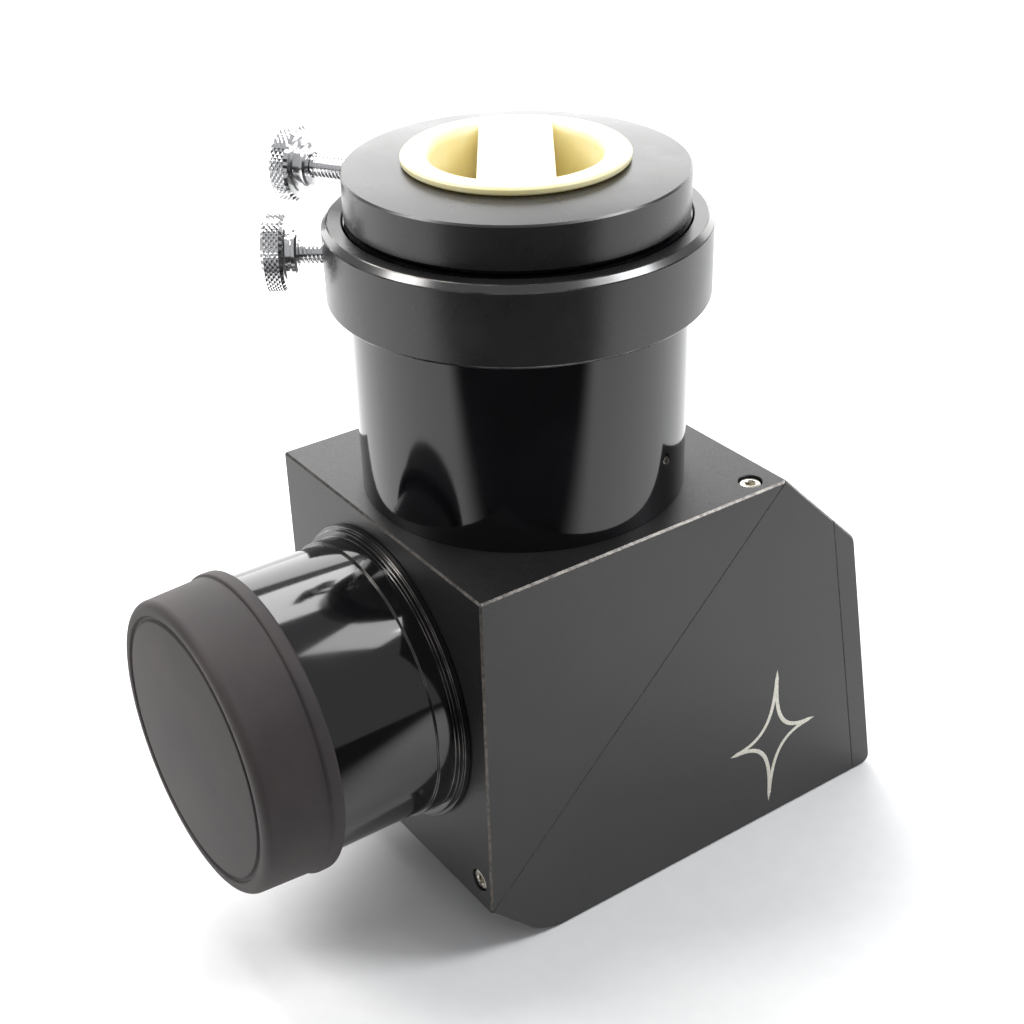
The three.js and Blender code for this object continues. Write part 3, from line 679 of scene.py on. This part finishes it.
barrel_radius = 25.4
barrel_end = front_y - nose_low.y
nose_tail = -4  # how far it screws into the housing
nose_thread = 26.2
flange_radius, flange_end = 27.6, 1.2
step_radius, step_end = 27.0, 2.0
neck_radius, neck_end = 25.9, 5.2
bore_radius = 23.0
thread_pitch = 0.75
thread_crest = 24.0
thread_root = 24.38
thread_start = barrel_end - 6
thread_turns = 7
nose_profile = [
    (bore_radius, nose_tail), (nose_thread, nose_tail), (nose_thread, 0.1),
    (flange_radius, 0.1), (flange_radius, flange_end), (step_radius, flange_end),
    (step_radius, step_end), (neck_radius, step_end), (neck_radius, neck_end),
    (barrel_radius, neck_end), (barrel_radius, barrel_end - 0.5),
    (barrel_radius - 0.5, barrel_end), (thread_crest + 0.4, barrel_end),
]
for turn in range(thread_turns):
    crest = barrel_end - 0.4 - turn * thread_pitch
    nose_profile += [(thread_crest, crest), (thread_crest, crest - 0.1),
                     (thread_root, crest - thread_pitch / 2 - 0.05)]
nose_profile += [(thread_crest, thread_start), (bore_radius, thread_start)]
nose = turned(nose_profile, round_steps)
turned_chamfer = 0.12


def from_axis(point):
    """How far a point is from Z, in mm."""
    return math.hypot(point.x, point.y) / MM


def on_nose_outside(edge):
    """Whether an edge is on the nosepiece's outside, in front of the housing."""
    return all(from_axis(v.co) > barrel_radius - 1 and v.co.z > 0 for v in edge.verts)


ease(nose, turned_chamfer, only=on_nose_outside, sharper_than=40, material=1)
bmesh.ops.transform(nose, matrix=nose_frame, verts=nose.verts)
nosepiece = made_of("two_inch_nosepiece", nose, gloss_nose, gloss_edge)
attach(nosepiece, "body")
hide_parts("nosepiece_barrel")

# ---- Eyepiece tube: turned from aluminium tube, polished and gloss black anodised like the
# nosepiece. It screws into the top of the housing and is bored two inches at its upper end,
# with a groove for the compression ring.
gloss_tube = turned_aluminium(
    "aluminium_polished_gloss_black_anodised_tube", "#09090b", "#101013", 0.06, 0.05,
    0.5, 0.03, 1.58)
tube_high = in_mm("eyepiece_tube")[1]
tube_radius = tube_high.x
rim_z = tube_high.z
receiver_radius = 25.45
receiver_floor = top_z + 7.4
tube_tail = top_z - 4
tube_thread = 26.6
large_ring_low, large_ring_high = in_mm("compression_ring_2in")
collar_screw_z = (large_ring_low.z + large_ring_high.z) / 2
ring_half = 1.9
groove_half = ring_half + 0.25
groove_cut = 1.7
groove_radius = receiver_radius + groove_cut
collar_screw_angle = math.radians(234)


def radial_frame(angle, height):
    """A frame on the eyepiece axis with its +Z out along an angle."""
    return (Matrix.Translation((0, 0, height * MM)) @ Matrix.Rotation(angle, 4, "Z")
            @ Matrix.Rotation(math.pi / 2, 4, "Y"))


collar_screw_frame = radial_frame(collar_screw_angle, collar_screw_z)
stud_hole_radius = 2.15
tube = turned([
    (light_radius, tube_tail), (tube_thread, tube_tail), (tube_thread, top_z + 0.1),
    (tube_radius, top_z + 0.1), (tube_radius, rim_z), (receiver_radius + 0.3, rim_z),
    (receiver_radius, rim_z - 0.3), (receiver_radius, collar_screw_z + groove_half),
    (groove_radius, collar_screw_z + groove_half), (groove_radius, collar_screw_z - groove_half),
    (receiver_radius, collar_screw_z - groove_half),
    (receiver_radius, receiver_floor), (light_radius, receiver_floor),
], round_steps)
tube = machined(tube, [
    rod(stud_hole_radius, receiver_radius, 33, small_steps, collar_screw_frame),
])
eyepiece_tube = made_of("gloss_eyepiece_tube", tube, gloss_tube)
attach(eyepiece_tube, "body")
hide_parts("eyepiece_tube")

# ---- Clamp collar: a ring of aluminium round the tube's top, turned with a satin face and black
# anodised, chamfered above and drilled and tapped for the clamping screw.
satin_turned = turned_aluminium(
    "aluminium_satin_turned_black_anodised", "#1b1a1b", "#252425", 0.24, 0.08,
    0.35, 0.16, 1.62)
collar_low, collar_high = in_mm("clamp_collar")
collar_radius = collar_high.x
collar_inside = tube_radius + 0.25
collar = turned([
    (collar_inside, collar_low.z), (collar_radius - 0.5, collar_low.z),
    (collar_radius, collar_low.z + 0.5), (collar_radius, collar_high.z - 1),
    (collar_radius - 1, collar_high.z), (collar_inside + 0.15, collar_high.z),
    (collar_inside, collar_high.z - 0.15),
], round_steps)
ease(collar, turned_chamfer, only=lambda e: from_axis(e.verts[0].co) > collar_radius - 2,
     sharper_than=30, material=1)
collar = machined(collar, [
    rod(stud_hole_radius, 27, 34, small_steps, collar_screw_frame),
])
clamp_ring = made_of("satin_clamp_ring", collar, satin_turned, gloss_edge, sharper_than=20)
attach(clamp_ring, "body")
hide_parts("clamp_collar")

# The chamfer is a second, finer cut, so it is brighter than the rest.
for face in clamp_ring.data.polygons:
    if face.normal.z > 0.5 and face.normal.z < 0.9 and face.material_index == 0:
        face.material_index = 2
clamp_ring.data.materials.append(turned_aluminium(
    "aluminium_fine_turned_black_anodised", "#1c1b1b", "#262525", 0.16, 0.05,
    0.35, 0.06, 1.9))

# ---- Compression rings: split rings of turned brass in grooves inside the two bores. A screw
# presses each one so that it grips an eyepiece without marking it.
brass, tree, shader, place = new_material("brass_turned")
brass_rings = add_node(tree, "TexNoise", {
    "Vector": round_the_axis(tree, place, (0, 0, 0), (0, 0, 0)), "Scale": 1 / (0.3 * MM),
    "Detail": 2.0})
brass_tone = add_node(tree, "ValToRGB", {"Fac": brass_rings.outputs["Fac"]})
brass_tone.color_ramp.elements[0].color = colour("#b08a3e")
brass_tone.color_ramp.elements[1].color = colour("#d9bb6c")
brass_bump = add_node(tree, "Bump", {
    "Height": brass_rings.outputs["Fac"], "Strength": 0.2, "Distance": 0.02 * MM})
shader.inputs["Metallic"].default_value = 1.0
shader.inputs["Roughness"].default_value = 0.28
tree.links.new(brass_tone.outputs["Color"], shader.inputs["Base Color"])
tree.links.new(brass_bump.outputs["Normal"], shader.inputs["Normal"])


ring_thickness = 1.2
ring_slit = 4
ring_clearance = 0.25


def split_ring(outer, middle, angle):
    """A ring with its inside edges eased and a slit on the side away from its screw."""
    low, high = middle - ring_half, middle + ring_half
    inner = outer - ring_thickness
    ring = turned([(inner, low + 0.2), (inner + 0.2, low), (outer, low), (outer, high),
                   (inner + 0.2, high), (inner, high - 0.2)], round_steps)
    slit = bmesh.new()
    bmesh.ops.create_cube(slit, size=1.0)
    bmesh.ops.scale(slit, vec=(2 * outer * MM, ring_slit * MM, 8 * MM), verts=slit.verts)
    bmesh.ops.translate(slit, vec=(-outer * MM, 0, middle * MM), verts=slit.verts)
    bmesh.ops.rotate(slit, matrix=Matrix.Rotation(angle, 3, "Z"), verts=slit.verts)
    return machined(ring, [slit])


large_ring_outer = groove_radius - ring_clearance
large_ring = made_of("split_ring_two_inch",
                     split_ring(large_ring_outer, collar_screw_z, collar_screw_angle), brass)
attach(large_ring, "body")
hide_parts("compression_ring_2in")

adapter_screw_angle = math.radians(212)
small_ring_low, small_ring_high = in_mm("compression_ring_125")
adapter_screw_z = (small_ring_low.z + small_ring_high.z) / 2
small_bore = 15.95
small_groove = small_bore + groove_cut
small_ring_outer = small_groove - ring_clearance
small_ring = made_of("split_ring_small",
                     split_ring(small_ring_outer, adapter_screw_z, adapter_screw_angle), brass)
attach(small_ring, "eyepiece_adapter")
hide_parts("compression_ring_125")

# ---- Adapter: the reducer from the two-inch receiver to a small eyepiece, turned in satin
# black anodised aluminium, with a broad shallow cone on top and an undercut barrel below.
adapter_low, adapter_high = in_mm("adapter")
seat_z = rim_z + 0.1
barrel = 25.25
flange = adapter_high.x
crown_z = adapter_high.z
cone_foot = crown_z - 0.9
cone_top = 18.4
undercut_top = seat_z - 2
undercut_length = 10
undercut = barrel - 0.6
recess_radius = 22.5
recess_top = adapter_low.z + 11
adapter = turned([
    (recess_radius, adapter_low.z), (barrel - 0.4, adapter_low.z), (barrel, adapter_low.z + 0.4),
    (barrel, undercut_top - undercut_length - 0.4), (undercut, undercut_top - undercut_length),
    (undercut, undercut_top - 0.6), (barrel, undercut_top), (barrel, seat_z),
    (flange - 1, seat_z), (flange, seat_z + 1), (flange, cone_foot - 0.3),
    (flange - 0.3, cone_foot), (cone_top, crown_z), (small_bore + 0.2, crown_z),
    (small_bore, crown_z - 0.2), (small_bore, adapter_screw_z + groove_half),
    (small_groove, adapter_screw_z + groove_half), (small_groove, adapter_screw_z - groove_half),
    (small_bore, adapter_screw_z - groove_half), (small_bore, recess_top),
    (recess_radius, recess_top),
], round_steps)
adapter_screw_frame = radial_frame(adapter_screw_angle, adapter_screw_z)
adapter = machined(adapter, [
    rod(stud_hole_radius, small_bore, 31, small_steps, adapter_screw_frame),
])
reducer = made_of("eyepiece_reducer", adapter, satin_turned, sharper_than=8)
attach(reducer, "eyepiece_adapter")
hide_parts("adapter")

# ---- Dust plug: moulded in ivory polyethylene, with a lip, two finger pockets and a grip bar
# across the middle that the mould leaves hollow from below.
ivory, tree, shader, place = new_material("polyethylene_moulded_ivory")
mottle = add_node(tree, "TexNoise", {
    "Vector": place, "Scale": 1 / (6 * MM), "Detail": 3.0})
mottle_tone = add_node(tree, "ValToRGB", {"Fac": mottle.outputs["Fac"]})
mottle_tone.color_ramp.elements[0].position = 0.3
mottle_tone.color_ramp.elements[0].color = colour("#f4e7b2")
mottle_tone.color_ramp.elements[1].position = 0.7
mottle_tone.color_ramp.elements[1].color = colour("#f9f0cb")
spark_grain = add_node(tree, "TexNoise", {
    "Vector": place, "Scale": 1 / (0.35 * MM), "Detail": 2.0})
spark_bump = add_node(tree, "Bump", {
    "Height": spark_grain.outputs["Fac"], "Strength": 0.15, "Distance": 0.02 * MM})
shader.inputs["Roughness"].default_value = 0.42
shader.inputs["IOR"].default_value = 1.51
shader.inputs["Subsurface Weight"].default_value = 0.35
shader.inputs["Subsurface Radius"].default_value = (1.0, 0.85, 0.35)
shader.inputs["Subsurface Scale"].default_value = 2.5 * MM
tree.links.new(mottle_tone.outputs["Color"], shader.inputs["Base Color"])
tree.links.new(spark_bump.outputs["Normal"], shader.inputs["Normal"])

plug_low, plug_high = in_mm("dust_plug")
plug_top = plug_high.z
plug_seat = plug_top - 1.3
plug_outer = 15.7
plug_lip = 18.8
pocket_radius = 14.1
pocket_floor = plug_low.z + 1.8
bar_half = 6.1
bar_draft = 1.2
bar_angle = math.radians(-35)
bar_wall = 1.8
plug_steps = 128
shell = turned([
    (0, plug_low.z), (plug_outer - 0.6, plug_low.z), (plug_outer, plug_low.z + 0.6),
    (plug_outer, plug_seat), (plug_lip - 0.25, plug_seat), (plug_lip, plug_seat + 0.25),
    (plug_lip, plug_top - 0.35), (plug_lip - 0.35, plug_top), (0, plug_top)], plug_steps)
mouth = 1.6  # radius of the rounded way into the pockets
mouth_curve = [
    (pocket_radius + mouth * (1 - math.cos(a)), plug_top - mouth * (1 - math.sin(a)))
    for a in (math.radians(10 * i) for i in range(9))]
pocket = turned([
    (0, pocket_floor), (pocket_radius, pocket_floor), *mouth_curve,
    (pocket_radius + mouth, plug_top + 0.1), (0, plug_top + 0.1)], plug_steps)
bar_foot = bar_half + bar_draft
bar = prism_across(metres(
    (-bar_foot, pocket_floor - 0.01), (bar_foot, pocket_floor - 0.01),
    (bar_half, plug_top + 1), (-bar_half, plug_top + 1)), -plug_lip * MM, plug_lip * MM)
hollow = bmesh.new()
bmesh.ops.create_cube(hollow, size=1.0)
hollow_height = plug_top - bar_wall - plug_low.z
bmesh.ops.scale(hollow, verts=hollow.verts, vec=(
    2 * (plug_outer - 3.2) * MM, 2 * (bar_half - bar_wall) * MM, 2 * hollow_height * MM))
bmesh.ops.translate(hollow, vec=(0, 0, plug_low.z * MM), verts=hollow.verts)
across_plug = Matrix.Rotation(bar_angle, 3, "Z")
for cutter in (bar, hollow):
    bmesh.ops.rotate(cutter, matrix=across_plug, verts=cutter.verts)
plug = machined(shell, [machined(pocket, [bar]), hollow])
moulded_round = 0.35
ease(plug, moulded_round, 3, sharper_than=35)
dust_plug = made_of("ivory_dust_plug", plug, ivory, sharper_than=40)
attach(dust_plug, "plug")
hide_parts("dust_plug")

# ---- Thumbscrews: two of brass, chrome plated, each a threaded stud and a knob with a stepped
# hub and a diamond-knurled rim. One clamps the collar's ring and one the adapter's.
chrome, tree, shader, place = new_material("brass_chrome_plated")
plating = add_node(tree, "TexNoise", {
    "Vector": place, "Scale": 1 / (1.5 * MM), "Detail": 3.0})
plating_gloss = add_node(tree, "MapRange", {
    "Value": plating.outputs["Fac"], "To Min": 0.10, "To Max": 0.24})
shader.inputs["Base Color"].default_value = colour("#f2f2f3")
shader.inputs["Metallic"].default_value = 1.0
tree.links.new(plating_gloss.outputs["Result"], shader.inputs["Roughness"])

stud_radius = 1.95
screw_pitch = 0.7
knob_radius = 6.5
knurl_count = 36
knurl_rows = 6
knurl_depth = 0.32
knob_bore = 2.15
knob_bore_depth = 3.6
thread_steps = 20  # to a turn


def threaded_stud(tip, end, frame):
    """A rod with a rolled thread: a core, and a ridge wound round it one pitch a turn."""
    core = stud_radius - 0.36
    bm = turned([(0, tip), (core - 0.3, tip), (core, tip + 0.4), (core, end), (0, end)], 32)
    turns = int((end - tip - 1.6) / screw_pitch)
    start = tip + 0.5
    section = [bm.verts.new((radius * MM, 0, height * MM)) for radius, height in (
        (core - 0.1, start), (stud_radius, start + 0.28), (stud_radius, start + 0.38),
        (core - 0.1, start + 0.66))]
    first = bm.faces.new(section)
    ridge = bmesh.ops.spin(bm, geom=list(first.edges) + section, cent=(0, 0, 0), axis=(0, 0, 1),
                           dvec=(0, 0, screw_pitch / thread_steps * MM),
                           angle=2 * math.pi * turns, steps=thread_steps * turns)
    last = [e for e in ridge["geom_last"] if isinstance(e, bmesh.types.BMEdge)]
    bmesh.ops.contextual_create(bm, geom=last)
    bmesh.ops.recalc_face_normals(bm, faces=bm.faces)
    bmesh.ops.transform(bm, matrix=frame, verts=bm.verts)
    return bm


def knurled_knob(reach, frame):
    """A knob whose hub starts at a reach from the axis; its rim is cut in crossed diagonals."""
    back, face = reach + 2, reach + 5.6
    low, high = back + 0.55, face - 0.55
    rim = [(knob_radius, low + (high - low) * row / knurl_rows) for row in range(knurl_rows + 1)]
    bore_end = reach + knob_bore_depth
    bm = turned([
        (knob_bore, reach), (3.4, reach), (3.8, reach + 0.35), (3.8, reach + 0.9),
        (3.3, reach + 1.1), (3.3, back - 0.25), (4.6, back - 0.25), (4.9, back),
        (knob_radius - 0.6, back), *rim, (knob_radius - 0.6, face), (knob_radius - 1.2, face),
        (knob_radius - 1.6, face - 0.25), (0, face - 0.25), (0, bore_end),
        (knob_bore, bore_end)], 2 * knurl_count)
    step = math.pi / knurl_count
    for v in bm.verts:
        if from_axis(v.co) < knob_radius - 0.01:
            continue
        around = round(math.atan2(v.co.y, v.co.x) / step)
        row = round((v.co.z / MM - low) / (high - low) * knurl_rows)
        if (around + row) % 2 == 0:
            v.co.xy *= 1 - knurl_depth / knob_radius
    quads = [f for f in bm.faces if all(from_axis(v.co) > knob_radius - 0.5 for v in f.verts)]
    bmesh.ops.triangulate(bm, faces=quads, quad_method="SHORT_EDGE")
    bmesh.ops.transform(bm, matrix=frame, verts=bm.verts)
    return bm


for label, spot, ring_outer, reach, stud_body, knob_body in (
    ("collar_screw", collar_screw_frame, large_ring_outer, collar_radius + 4.2,
     "collar_stud", "collar_knob"),
    ("adapter_screw", adapter_screw_frame, small_ring_outer, flange + 9.0,
     "adapter_stud", "adapter_knob"),
):
    rolled = threaded_stud(ring_outer + 0.9, reach + knob_bore_depth - 0.1, spot)
    stud = made_of(label + "_threaded_stud", rolled, chrome, sharper_than=25)
    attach(stud, stud_body)
    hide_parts(label + "_stud")
    knob = made_of(label + "_knurled_knob", knurled_knob(reach, spot), chrome, sharper_than=12)
    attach(knob, knob_body)
    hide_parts(label + "_knob")

# ---- Dust cap: moulded in soft black rubber and pushed over the nosepiece's end, with a bead
# round its mouth, a rounded front edge and a ring moulded into its face.
rubber, tree, shader, place = new_material("rubber_moulded_matt_black")
bloom = add_node(tree, "TexNoise", {
    "Vector": place, "Scale": 1 / (16 * MM), "Detail": 4.0, "Roughness": 0.6})
bloom_tone = add_node(tree, "ValToRGB", {"Fac": bloom.outputs["Fac"]})
bloom_tone.color_ramp.elements[0].position = 0.3
bloom_tone.color_ramp.elements[0].color = colour("#272122")
bloom_tone.color_ramp.elements[1].position = 0.72
bloom_tone.color_ramp.elements[1].color = colour("#382f2f")
mould_skin = add_node(tree, "TexNoise", {
    "Vector": place, "Scale": 1 / (0.5 * MM), "Detail": 3.0})
rubber_bump = add_node(tree, "Bump", {
    "Height": mould_skin.outputs["Fac"], "Strength": 0.25, "Distance": 0.03 * MM})
shader.inputs["Roughness"].default_value = 0.66
shader.inputs["IOR"].default_value = 1.52
tree.links.new(bloom_tone.outputs["Color"], shader.inputs["Base Color"])
tree.links.new(rubber_bump.outputs["Normal"], shader.inputs["Normal"])

cap_low, cap_high = in_mm("dust_cap")
cap_start, cap_end = front_y - cap_high.y, front_y - cap_low.y
cap_inside, cap_rear, cap_front = 25.52, 27.0, 26.4
bead, bead_end = 27.4, cap_start + 2.6
edge_radius = 1.6


def arc(centre_r, centre_z, radius, start, end, count):
    """Points on a rounded corner of a profile, between two angles in degrees."""
    turns = [math.radians(start + (end - start) * i / count) for i in range(count + 1)]
    return [(centre_r + radius * math.cos(a), centre_z + radius * math.sin(a)) for a in turns]


ring_groove = cap_front - edge_radius - 0.9 - 0.45
cap = turned([
    (cap_inside, cap_end - 1.5), (cap_inside, cap_start + 0.3), (cap_inside + 0.3, cap_start),
    *arc(bead - 0.5, cap_start + 0.5, 0.5, -90, 0, 5),
    *arc(bead - 0.6, bead_end - 0.6, 0.6, 0, 80, 6),
    *arc(cap_rear + 0.16, bead_end + 0.24, 0.3, 260, 180, 5),
    *arc(cap_front - edge_radius, cap_end - edge_radius, edge_radius, 0, 90, 10),
    *arc(ring_groove + 0.75, cap_end - 0.25, 0.25, 90, 180, 4),
    *arc(ring_groove, cap_end - 0.20, 0.35, 0, -180, 6),
    *arc(ring_groove - 0.75, cap_end - 0.25, 0.25, 0, 90, 4),
    (0, cap_end), (0, cap_end - 1.5),
], round_steps, nose_frame)
dust_cap = made_of("rubber_nosepiece_cap", cap, rubber, sharper_than=50)
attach(dust_cap, "cap")
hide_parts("dust_cap")

# ---- Floor: the sheet of white paper that the part stands on. A second sheet is what the glossy
# faces mirror: the same paper, with a wedge of painted shade on the camera's side of the table.
# painted shade: the near-black colour of the wedge that the glossy faces mirror in the floor
painted_shade_black = colour("#181818")
sheet_half = 4
painted_shade_start, painted_shade_edge, painted_shade_spread = 0.070, 0.055, 0.5
painted_shade_bearing = math.radians(55.5)


def paper(name, with_painted_shade):
    """White cartridge paper: matt, with a faint fibre. The painted shade is a near-black wedge
    that widens away from the part.
    """
    material, tree, shader, place = new_material(name)
    fibre = add_node(tree, "TexNoise", {"Vector": place, "Scale": 1 / (4 * MM), "Detail": 2.0})
    tone = add_node(tree, "ValToRGB", {"Fac": fibre.outputs["Fac"]})
    tone.color_ramp.elements[0].color = colour("#f1f1f1")
    tone.color_ramp.elements[1].color = colour("#f7f7f7")
    shader.inputs["Roughness"].default_value = 0.9
    shader.inputs["Specular IOR Level"].default_value = 0.2
    if not with_painted_shade:
        tree.links.new(tone.outputs["Color"], shader.inputs["Base Color"])
        return material
    towards = (math.sin(painted_shade_bearing), -math.cos(painted_shade_bearing), 0)
    across = (math.cos(painted_shade_bearing), math.sin(painted_shade_bearing), 0)
    ahead = add_node(tree, "VectorMath", {0: place, 1: towards}, operation="DOT_PRODUCT")
    aside = add_node(tree, "VectorMath", {0: place, 1: across}, operation="DOT_PRODUCT")
    spread = add_node(tree, "Math", {0: aside.outputs["Value"]}, operation="ABSOLUTE")
    inside = add_node(tree, "Math", {
        0: spread.outputs["Value"], 1: -painted_shade_spread, 2: ahead.outputs["Value"]},
        operation="MULTIPLY_ADD")
    # painted shade: a soft-edged mask of the wedge, mixed over the paper's own colour
    painted_shade_mask = add_node(tree, "MapRange", {
        "Value": inside.outputs["Value"], "From Min": painted_shade_start,
        "From Max": painted_shade_start + painted_shade_edge}, interpolation_type="SMOOTHSTEP")
    mixed = add_node(tree, "Mix", {
        0: painted_shade_mask.outputs["Result"], 6: tone.outputs["Color"], 7: painted_shade_black}, data_type="RGBA")
    tree.links.new(mixed.outputs[2], shader.inputs["Base Color"])
    return material


for name, with_painted_shade, below in (("paper_floor", False, 0.06), ("paper_reflected", True, 0.02)):
    sheet = bmesh.new()
    bmesh.ops.create_grid(sheet, x_segments=1, y_segments=1, size=sheet_half)
    bmesh.ops.translate(sheet, vec=(0, 0, -below * MM), verts=sheet.verts)
    floor = made_of(name, sheet, paper(name + "_matt_white", with_painted_shade))
    floor.visible_glossy = with_painted_shade
    for sees in ("visible_camera", "visible_diffuse", "visible_transmission", "visible_shadow"):
        setattr(floor, sees, not with_painted_shade)
